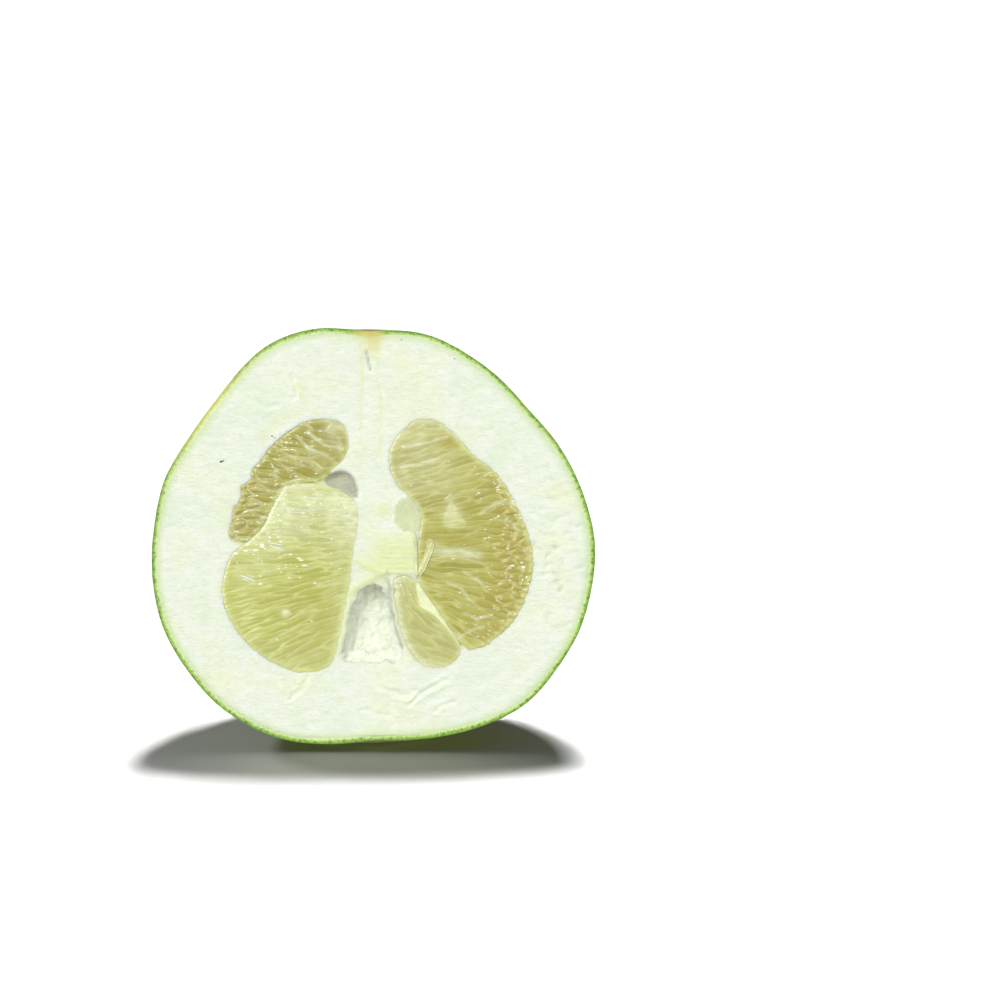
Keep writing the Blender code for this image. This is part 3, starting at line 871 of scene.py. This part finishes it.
def pulp_paint(name, deep, middle, pale, line, line_share, gloss):
    """Wet, cloudy flesh. The colours run from the darkest sacs to the palest, with lines where sacs meet."""
    paint, tree, shader = finish_of(name)
    own, cloud = value_of(tree, "tone"), speckle(tree, 330, 4)
    tone = plus(tree, times(tree, own, 0.55), times(tree, cloud, 0.5))
    ground = ramp(tree, tone, (0.22, shade(*deep)), (0.50, shade(*middle)), (0.80, shade(*pale)))
    seam = ramp(tree, value_of(tree, "edge"), (0.74, 0.0), (0.97, 1.0))
    faint = ramp(tree, speckle(tree, 210, 2), (0.35, 0.45), (0.6, 1.0))
    seam = times(tree, seam, times(tree, faint, line_share))
    ground = blend_colors(tree, seam, ground, shade(*line))
    ground = tint(tree, ground, "warm", 0.8, shade(182, 172, 84))
    ground = tint(tree, ground, "rim", 0.6, shade(222, 230, 158))
    along = add(tree, "Mapping", {"Vector": place_on(tree), "Scale": (0.28, 1, 1)})
    streaks = speckle(tree, 760, 4, 0.65, along.outputs["Vector"])
    milk = ramp(tree, streaks, (0.36, shade(206, 211, 160)), (0.50, shade(229, 234, 196)),
                (0.64, shade(245, 249, 222)))
    ground = tint(tree, ground, "film", 0.8, milk)
    # painted highlights: near-white dashes laid into the colour where juice would catch the light
    ground = blend_colors(tree, glints(tree), ground, shade(253, 254, 240))
    feed(tree, shader, {
        "Base Color": ground, "IOR": 1.37, "Coat Weight": 0.8, "Coat Roughness": 0.07,
        "Roughness": ramp(tree, speckle(tree, 160, 3), (0.35, gloss), (0.65, gloss + 0.25)),
        "Normal": bumps(tree, speckle(tree, 420, 2), 0.0003, 0.35),
        "Subsurface Weight": 0.6, "Subsurface Radius": (1.0, 0.95, 0.45), "Subsurface Scale": 0.0016,
    })
    return paint


def finish_pulp(piece, paint, node):
    piece.data.materials.clear()
    piece.data.materials.append(paint)
    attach(piece, "root")
    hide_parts(node)


def upper_left_habit(x, z):
    heads = steps(x - 0.25 * (z - 90), (-46, 1.0), (-36, 0.0))  # the swollen ends beside the rind
    return steps(z, (78, -4), (95, -8), (108, -20)), 9.0 - 5.0 * heads, 2.5 + 0.4 * heads


def upper_left_film(x, z):
    seams = (hump(line_gap(x, z, [(-27, 111), (-23, 106.5), (-16, 104)]), 0.6)
             + hump(line_gap(x, z, [(-23, 112), (-17, 107.5), (-11, 106.5)]), 0.6))
    return 0.05 * spot(x, z, -44, 80, 6, 6) + 0.5 * spot(x, z, -14, 113, 4, 5) + 0.8 * seams


flesh = pulp_of("segment_left_upper", "flesh_left_upper", 0.0008, UPPER_LEFT, False)
x, z, inset = raise_sacs(flesh, 0.0008, 0.3, 0.4, upper_left_habit,
                         lambda x, z: steps(x, (-46, 1.25), (-30, 0.8), (-15, 0.4)), upper_left_film, 21)
mark(flesh.data, "warm", 0.55 * hump(inset - 1.5, 3.0) * (x < -20))
# where the painted highlights fall on this segment, and how many
painted_glint = steps(x, (-48, 0.62), (-34, 0.45), (-20, 0.28), (-12, 0.06))
mark(flesh.data, "painted_glint", painted_glint + 0.25 * grain(x, z, 6, seed=43))
paint = pulp_paint("flesh_left_upper", (160, 154, 70), (178, 175, 94), (196, 194, 130), (222, 222, 172),
                   0.5, 0.12)
finish_pulp(flesh, paint, "segment_left_upper")

# Left main segment: cut almost along its sacs, so they show as fine ribs rising to the right, with pale walls
# between them. Its upper half is veiled by a torn, milky skin.


def main_left_habit(x, z):
    wide = steps(z, (30, 1.5), (60, 1.3), (85, 1.6))
    return steps(z - 0.35 * (x + 30), (26, 24), (45, 19), (58, 10), (70, -1), (82, -8)), 15.0, wide


def main_left_film(x, z):
    veil = steps(z, (66, 0.0), (78, 0.55), (86, 0.70), (92, 0.50)) + 0.22 * spot(x, z, -45, 62, 7, 7)
    veil += 0.3 * steps(x, (-18, 0.0), (-9, 1.0)) + 0.18 * hump((z - 31) / 6, 1.0)
    return veil + 0.3 * grain(x, z, 7, seed=4) * (z > 60) + 1.6 * spot(x, z, -31, 47, 1.5, 1.2)


flesh = pulp_of("segment_left_main", "flesh_left_main", 0.0001)
x, z, inset = raise_sacs(flesh, 0.0001, 0.8, 0.12, main_left_habit,
                         lambda x, z: steps(z, (30, 0.13), (60, 0.11), (85, 0.24)), main_left_film, 22)
# where the painted highlights fall on this segment, and how many
painted_glint = steps(z, (35, 0.03), (50, 0.08), (58, 0.16), (66, 0.40), (72, 0.52), (88, 0.42))
painted_glint *= steps(x, (-52, 1.3), (-40, 1.0), (-10, 0.9))
mark(flesh.data, "painted_glint", painted_glint + 0.22 * grain(x, z, 6, seed=44) * (z > 58))
mark(flesh.data, "warm", 0.25 * spot(x, z, -18, 40, 9, 16))
paint = pulp_paint("flesh_left_main", (181, 182, 86), (190, 193, 101), (200, 205, 120), (219, 224, 155),
                   0.8, 0.18)
finish_pulp(flesh, paint, "segment_left_main")

# Right main segment: wide sacs at its top, fine ones fanning out below, and towards the rind the cut meets
# the sacs end on, so they show as small golden cells between pale walls.


def main_right_habit(x, z):
    ends = steps(x, (36, 0.0), (47, 1.0))  # sacs met end on
    turn = steps(z, (40, -32), (50, -19), (60, -6), (70, 0), (90, 13), (110, 18))
    long = steps(z, (95, 15.0), (106, 14.0)) * (1 - 0.72 * ends)
    return turn, long, steps(z, (60, 1.4), (90, 1.4), (106, 1.9)) + 1.3 * ends


def main_right_film(x, z):
    diamond = np.clip(1.4 - np.abs(x - 28.5) / 5.0 - np.abs(z - 83) / 6.0, 0, 1)
    streak = hump(line_gap(x, z, [(21.5, 69.5), (30, 69.2), (38, 68)]), 1.7)
    veins = hump(line_gap(x, z, [(39, 83), (45, 87), (52, 86.5)]), 0.7)
    veins += hump(line_gap(x, z, [(44, 81), (50, 80), (53, 77)]), 0.6)
    threads = sum(hump(line_gap(x, z, thread), 0.55) for thread in [
        [(33, 62), (38, 59), (41, 56)], [(27, 58), (32, 56), (35, 52)], [(33, 47), (38, 45), (42, 46)],
        [(31, 38), (36, 41), (40, 42)], [(12, 107), (20, 108.5), (27, 110.5)],
        [(10.5, 99.5), (18, 101), (24, 103)],
    ])
    top = steps(z, (84, 0.0), (94, 0.36)) * steps(x, (24, 1.0), (36, 0.15))
    top *= 1 - 0.95 * spot(x, z, 27.5, 109, 5, 3)  # a few bare sacs
    return top + 0.5 * diamond + 0.75 * streak + 0.6 * veins + 0.55 * threads


flesh = pulp_of("segment_right_main", "flesh_right_main", 0.0001)
x, z, inset = raise_sacs(flesh, 0.0001, 0.4, 0.15, main_right_habit,
                         lambda x, z: steps(x, (20, 0.12), (36, 0.16), (48, 0.55)), main_right_film, 23)
# where the painted highlights fall on this segment, and how many
painted_glint = steps(x - 0.1 * (z - 70), (12, 0.04), (32, 0.09), (42, 0.26), (54, 0.42))
mark(flesh.data, "painted_glint", painted_glint + 0.2 * grain(x, z, 6, seed=45) * (x > 30))
mark(flesh.data, "warm", steps(x, (33, 0.0), (47, 0.8)) + 1.2 * spot(x, z, 27.5, 109, 5, 2.5)
     + 0.5 * hump(line_gap(x, z, [(17, 73.5), (25, 74.5), (34, 73)]), 2.0))
paint = pulp_paint("flesh_right_main", (165, 161, 66), (178, 175, 84), (190, 189, 105), (216, 216, 150),
                   0.75, 0.16)
finish_pulp(flesh, paint, "segment_right_main")

# Right lower segment: a thin wedge of a few wide sacs that fan out to the rind, under a clear skin that is
# paler along the hollow. Its outline is its own, pressed into the pith.


def lower_right_habit(x, z):
    wide = steps(z, (30, 2.2), (44, 1.6), (54, 1.3))
    return steps(z, (30, -20), (40, -30), (48, -44), (57, -74)), 13.0, wide


def lower_right_film(x, z):
    edge = line_gap(x, z, [(8.2, 58), (9.0, 49.2), (10.2, 43), (11.9, 37.2), (14.3, 32.8), (17.7, 29.2),
                           (21.5, 27.6), (26, 27.8)])
    return 0.7 * hump(edge, 1.6) + 0.16 + 0.25 * hump(z - 59, 3)


flesh = pulp_of("segment_right_lower", "flesh_right_lower", 0.0001, LOWER_RIGHT)
x, z, inset = raise_sacs(flesh, 0.0001, 0.4, 0.15, lower_right_habit, lambda x, z: 0.16, lower_right_film, 24)
# where the painted highlights fall on this segment, and how many
mark(flesh.data, "painted_glint", steps(z, (35, 0.02), (46, 0.05), (52, 0.22)))
mark(flesh.data, "warm", np.zeros(len(x)))
paint = pulp_paint("flesh_right_lower", (176, 175, 92), (184, 184, 102), (192, 193, 114), (214, 216, 152),
                   0.6, 0.18)
finish_pulp(flesh, paint, "segment_right_lower")

# Films: the thin, wet walls of the segments, torn loose by the knife and lying over the flesh and the core.
# Each is a sheet inside an outline, laid over the face as it is, thickened and half see-through.
fruit = [o for o in bpy.context.scene.objects if o.name.startswith("flesh_") or o.name == "pith_flesh"]
laid_on = [surface_of(o) for o in fruit]


def face_depth(x, z):
    """How deep the fruit's face lies at each place, in millimetres, as it is after the relief."""
    found = np.full(len(x), 6.0)
    for i, (a, b) in enumerate(zip(x, z)):
        start = on_face(a, b, -20)
        for surface in laid_on:
            gap = surface.ray_cast(start, INTO_FRUIT, 0.030)[3]
            if gap is not None:
                found[i] = min(found[i], gap * 1000 - 20)
    return found


def film(name, ring, lift, thick=0.14, slack=3):
    """A thin skin inside the outline, laid on the face. lift(x, z): how far it stands off, in millimetres.
    slack: how much it bridges what lies under it."""
    side = 0.34  # of a facet, in millimetres
    low, high = ring.min(0) - side, ring.max(0) + side
    xs, zs = np.arange(low[0], high[0], side), np.arange(low[1], high[1], side)
    gx, gz = np.meshgrid(xs, zs)
    depth = face_depth(gx.ravel(), gz.ravel()).reshape(gx.shape)
    for _ in range(slack):
        around = sum(np.roll(depth, step, axis) for step, axis in ((1, 0), (-1, 0), (1, 1), (-1, 1))) / 4
        depth = np.minimum(depth, 0.35 * depth + 0.65 * around)
    depth = depth - lift(gx.ravel(), gz.ravel()).reshape(gx.shape)
    keep = inside(gx.ravel(), gz.ravel(), ring).reshape(gx.shape)
    shape = bmesh.new()
    made = {}
    for r in range(len(zs) - 1):
        for c in range(len(xs) - 1):
            corners = [(r, c), (r, c + 1), (r + 1, c + 1), (r + 1, c)]
            if not all(keep[k] for k in corners):
                continue
            for k in corners:
                if k not in made:
                    made[k] = shape.verts.new(on_face(gx[k], gz[k], depth[k]))
            shape.faces.new([made[k] for k in corners])
    mesh = bpy.data.meshes.new(name)
    shape.to_mesh(mesh)
    shape.free()
    piece = bpy.data.objects.new(name, mesh)
    bpy.context.scene.collection.objects.link(piece)
    take_up(piece)
    edge = piece.modifiers.new("edge", "SMOOTH")
    edge.iterations = 2
    bpy.ops.object.modifier_apply(modifier="edge")
    piece.visible_shadow = False  # light comes through it
    body = piece.modifiers.new("thick", "SOLIDIFY")
    body.thickness = thick / 1000
    body.offset = 0
    bpy.ops.object.modifier_apply(modifier="thick")
    bpy.ops.object.mode_set(mode="EDIT")
    bpy.ops.mesh.select_all(action="SELECT")
    bpy.ops.mesh.normals_make_consistent(inside=False)
    bpy.ops.object.mode_set(mode="OBJECT")
    bpy.ops.object.shade_smooth()
    x, z = face_places(points_of(piece.data))
    mark(piece.data, "whole", np.clip((line_gap(x, z, np.vstack([ring, ring[:1]])) - 0.1) / 1.0, 0.15, 1))
    return piece


def film_paint(name, color, cover, cloudy=0.25, gloss=0.18):
    """Wet, half see-through skin. cover: how much of what lies under it it hides."""
    paint, tree, shader = finish_of(name)
    cloud = speckle(tree, 260, 4, 0.6)
    ground = ramp(tree, cloud, (0.35, shade(*[c - 14 for c in color])), (0.65, shade(*color)))
    # painted highlights: near-white, opaque dashes laid into the colour where the wet film would catch the
    # light
    painted_glint = glints(tree)
    covering = ramp(tree, cloud, (0.32, max(cover - cloudy, 0.05)), (0.68, min(cover + cloudy, 1.0)))
    covering = times(tree, covering, value_of(tree, "whole"))
    feed(tree, shader, {
        "Base Color": blend_colors(tree, painted_glint, ground, shade(252, 253, 240)),
        "Alpha": calc(tree, "MAXIMUM", covering, painted_glint),
        "Normal": bumps(tree, speckle(tree, 700, 3), 0.0004, 0.6),
        "Roughness": gloss, "IOR": 1.38, "Coat Weight": 0.8, "Coat Roughness": 0.06,
    })
    return paint


def finish_film(piece, paint):
    piece.data.materials.clear()
    piece.data.materials.append(paint)
    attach(piece, "root")


milky = film_paint("film_milky", (233, 237, 210), 0.24, 0.12)
# a real wall, with the empty pocket's shade painted into its grey
pocket_shade_film = film_paint("film_pocket_shade", (196, 198, 184), 0.14, 0.08)

# the torn wall over the top of the left main segment, which also bridges the seam to the segment above
TORN_EDGE = [(-47.5, 72.2), (-42, 75.5), (-38.8, 81), (-36.5, 87), (-33.5, 93.5), (-28, 95.6), (-22, 94.2),
             (-17, 91.8), (-10.5, 88.8), (-5.2, 87.2)]
LOWER_EDGE = [(-5.6, 83.5), (-9, 84.0), (-15, 85), (-22, 84.0), (-26.5, 86), (-30, 80), (-34, 78.5),
              (-37, 72), (-42, 69)]
ring = outline_of(TORN_EDGE + LOWER_EDGE, ragged=0.5, seed=2)
flap = film("film_left", ring, lambda x, z: 0.3 + 0.4 * hump(z - 94 + 0.25 * (x + 24), 1.6))
x, z = face_places(points_of(flap.data))
whole = np.clip(read_mark(flap.data, "whole") * 1.2, 0, 1)
mark(flap.data, "whole", (0.22 + 0.5 * hump(line_gap(x, z, TORN_EDGE), 2.6)) * whole)
# where the painted highlights fall on the flap
mark(flap.data, "painted_glint", 0.32 + 0.25 * grain(x, z, 6, seed=41))
finish_film(flap, milky)

# the clouded wall over the empty pocket beside the core, its grey a painted shade of the pocket
ring = outline_of([(-18.5, 95.2), (-14, 98.6), (-8.5, 97.2), (-5.2, 92), (-5.4, 87.5), (-11, 90),
                   (-16, 92)], ragged=0.25, seed=3)
finish_film(film("film_pocket", ring, lambda x, z: 0.3 + 0 * x, slack=14), pocket_shade_film)

# a round scrap where the core meets the right segment, and a torn diamond of wall on the sacs
ring = outline_of([(7.6, 86), (11, 89.6), (16.5, 88.6), (19.3, 84), (18.4, 78.5), (17, 75.4), (11, 76),
                   (7.2, 79)], ragged=0.5, seed=4)
finish_film(film("film_scrap", ring, lambda x, z: 0.35 + 0.4 * hump(z - 87.5, 2), slack=8),
            film_paint("film_pale", (203, 210, 164), 0.50, 0.10))
ring = outline_of([(28.8, 89.6), (32, 84), (35, 80), (33, 76.6), (28, 77.5), (24.2, 79.5),
                   (26, 84.5)], ragged=0.4, seed=5)
finish_film(film("film_diamond", ring, lambda x, z: 0.15 + 0 * x),
            film_paint("film_thin", (240, 243, 206), 0.14, 0.08))

# Cut edges of the walls: the upright edge of the pleated wall, the torn wall curled over beside it, and the
# wedge and ridge of wall between the two right segments. The edges are soft strands swept along their paths.


def cord(name, path, thick):
    """A soft rounded strand along a path on the face. thick: half its thickness at each point of the path."""
    line = bpy.data.curves.new(name, "CURVE")
    line.dimensions = "3D"
    line.bevel_depth = 0.001
    line.bevel_resolution = 4
    line.resolution_u = 8
    line.use_fill_caps = True
    strand = line.splines.new("NURBS")
    strand.points.add(len(path) - 1)
    depths = face_depth(*np.array(path, float).T)
    for point, (a, b), half, deep in zip(strand.points, path, thick, depths):
        point.co = (*on_face(a, b, min(deep, 0.8) - 0.25 * half), 1)
        point.radius = half
    strand.use_endpoint_u = True
    strand.order_u = min(4, len(path))
    piece = bpy.data.objects.new(name, line)
    bpy.context.scene.collection.objects.link(piece)
    take_up(piece)
    bpy.ops.object.convert(target="MESH")
    bpy.ops.object.mode_set(mode="EDIT")
    bpy.ops.mesh.select_all(action="SELECT")
    bpy.ops.mesh.remove_doubles(threshold=0.00001)
    bpy.ops.mesh.normals_make_consistent(inside=False)
    bpy.ops.object.mode_set(mode="OBJECT")
    points = points_of(piece.data)
    points += np.outer(0.00025 * np.array([noise.noise(Vector(p) * 800) for p in points]), ACROSS)
    move_points(piece.data, points)
    mark(piece.data, "whole", np.ones(len(points)))
    bpy.ops.object.shade_smooth()
    return piece


wall_paint = film_paint("wall_edge", (240, 243, 190), 0.75, 0.15, 0.3)
bright_wall = film_paint("wall_bright", (239, 244, 200), 0.95, 0.05, 0.35)
finish_film(cord("wall_upright", [(16.1, 60.2), (16.0, 63), (15.9, 67), (15.9, 71), (15.6, 74), (15.0, 76.8)],
                 [0.4, 0.6, 0.6, 0.65, 0.6, 0.3]), wall_paint)
ring = outline_of([(15.2, 59.2), (16.4, 58.6), (19.4, 54.2), (22.4, 49.8), (25.4, 45.4), (28.4, 41.2),
                   (31.2, 36.4), (30.4, 36.2), (27.2, 40.4), (24.0, 44.2), (21.2, 46.9), (18.4, 48.2),
                   (16.8, 49.4), (16.0, 53.6)])
finish_film(film("wall_wedge", ring, lambda x, z: 0.3 + 0.15 * grain(x, z, 2.5, -55, 3, seed=42),
                 thick=0.3, slack=60), bright_wall)
finish_film(cord("wall_ridge", [(17.2, 56.9), (20.2, 52.6), (23.2, 48.2), (26.3, 43.7), (29.2, 39.8),
                                (31.8, 35.6)],
                 [0.25, 0.4, 0.4, 0.4, 0.35, 0.25]), wall_paint)
ring = outline_of([(15.8, 59.8), (18.4, 61.8), (20.4, 66.1), (22.4, 70.9), (21.9, 73.3), (20.6, 73.6),
                   (19.4, 72.0), (18.4, 68.4), (16.9, 65.1), (16.2, 62)])
finish_film(film("wall_curl", ring, lambda x, z: 0.3 + 0.4 * hump(x - 18.5 - 0.25 * (z - 66), 1.4), slack=6),
            film_paint("wall_curl", (236, 240, 188), 0.40, 0.10))
finish_film(cord("wall_curl_edge", [(15.9, 59.6), (17.4, 60.6), (18.9, 62.6), (20.3, 66.1), (21.9, 69.8),
                                    (22.3, 72.2), (21.4, 73.8), (20.0, 73.4), (19.4, 71.8)],
                 [0.2, 0.32, 0.34, 0.30, 0.34, 0.36, 0.34, 0.3, 0.15]), wall_paint)

# Painted highlights: near-white strands along the veiled sacs, in place of the juice that catches the light.
# Each is a short strand that tapers to both ends.
HIGHLIGHT_STREAKS = [
    ([(-47.2, 60.6), (-44.6, 59.7), (-41.8, 58.3)], 0.40),
    ([(-46.8, 59.5), (-45.4, 59.0), (-43.8, 58.4)], 0.26),
    ([(-45.0, 61.1), (-43.6, 60.6), (-42.2, 59.9)], 0.20),
    ([(-37.4, 72.4), (-35.0, 72.1), (-32.2, 71.5)], 0.30),
    ([(-36.8, 71.5), (-34.4, 70.7), (-31.8, 69.6)], 0.36),
    ([(-35.0, 70.2), (-33.6, 69.6), (-32.2, 69.0)], 0.18),
    ([(-22.4, 88.3), (-20.0, 88.2), (-17.2, 88.4)], 0.22),
    ([(-29.0, 83.2), (-26.5, 83.4), (-24.2, 83.2)], 0.18),
    ([(-20.6, 94.6), (-17.6, 93.4), (-14.6, 92.0)], 0.26),
    ([(-27.0, 84.2), (-22.5, 84.0), (-18.0, 84.4)], 0.16),
    ([(26.2, 88.4), (27.6, 89.2), (28.8, 89.9)], 0.24), ([(-31.4, 64.6), (-30.2, 64.4)], 0.3),
    ([(-40.2, 66.0), (-39.0, 65.6)], 0.28), ([(28.6, 66.6), (29.8, 66.6)], 0.36),
    ([(-41.8, 80.2), (-40.4, 79.6)], 0.30), ([(-36.6, 101.0), (-35.4, 100.2)], 0.34),
    ([(-21.6, 105.8), (-20.4, 105.6)], 0.28),
]
# near-white and opaque: a painted highlight rather than clear juice
highlight_paint, tree, shader = finish_of("painted_highlight_streak")
feed(tree, shader, {"Base Color": shade(252, 253, 244), "Roughness": 0.08, "Coat Weight": 1.0})
for number, (path, half) in enumerate(HIGHLIGHT_STREAKS):
    if len(path) == 2:
        path = [path[0], ((path[0][0] + path[1][0]) / 2, (path[0][1] + path[1][1]) / 2), path[1]]
    highlight_streak = cord(f"painted_highlight_streak_{number}", path, [0.3 * half, half, 0.3 * half])
    highlight_streak.data.materials.append(highlight_paint)
    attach(highlight_streak, "root")

# Specks: a few dark grains of dirt that the knife has left on the cut pith. Each is a small ball, pressed
# flat, turned and roughened, that sits on the face.
SPECKS = [(-54.2, 101.6, 0.55, 20), (-53.4, 101.9, 0.32, 60), (-35.9, 110.8, 0.40, -30),
          (-35.0, 110.2, 0.28, 10), (10.7, 145.4, 0.28, 0), (29.8, 138.6, 0.25, 40)]  # x, z, radius, turn
speck_paint, tree, shader = finish_of("speck")
feed(tree, shader, {"Base Color": shade(44, 38, 24), "Roughness": 0.8})
for number, (a, b, wide, turn) in enumerate(SPECKS):
    deep = face_depth(np.array([a]), np.array([b]))[0]
    bpy.ops.object.select_all(action="DESELECT")
    bpy.ops.mesh.primitive_ico_sphere_add(subdivisions=2, radius=wide / 1000)
    grain_piece = bpy.context.object
    grain_piece.name = grain_piece.data.name = f"speck_{number}"
    turned = math.radians(turn)
    centre = np.array(on_face(a, b, deep))
    points = points_of(grain_piece.data) * (1.0, 0.35, 0.55)
    points = points @ np.array([[math.cos(turned), 0, math.sin(turned)], [0, 1, 0],
                                [-math.sin(turned), 0, math.cos(turned)]])
    rough = np.array([noise.noise(Vector(p) * 4000 + Vector((number, 0, 0))) for p in points])
    points += rough[:, None] * points * 0.6
    move_points(grain_piece.data, points + centre)
    bpy.ops.object.shade_smooth()
    grain_piece.data.materials.append(speck_paint)
    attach(grain_piece, "root")
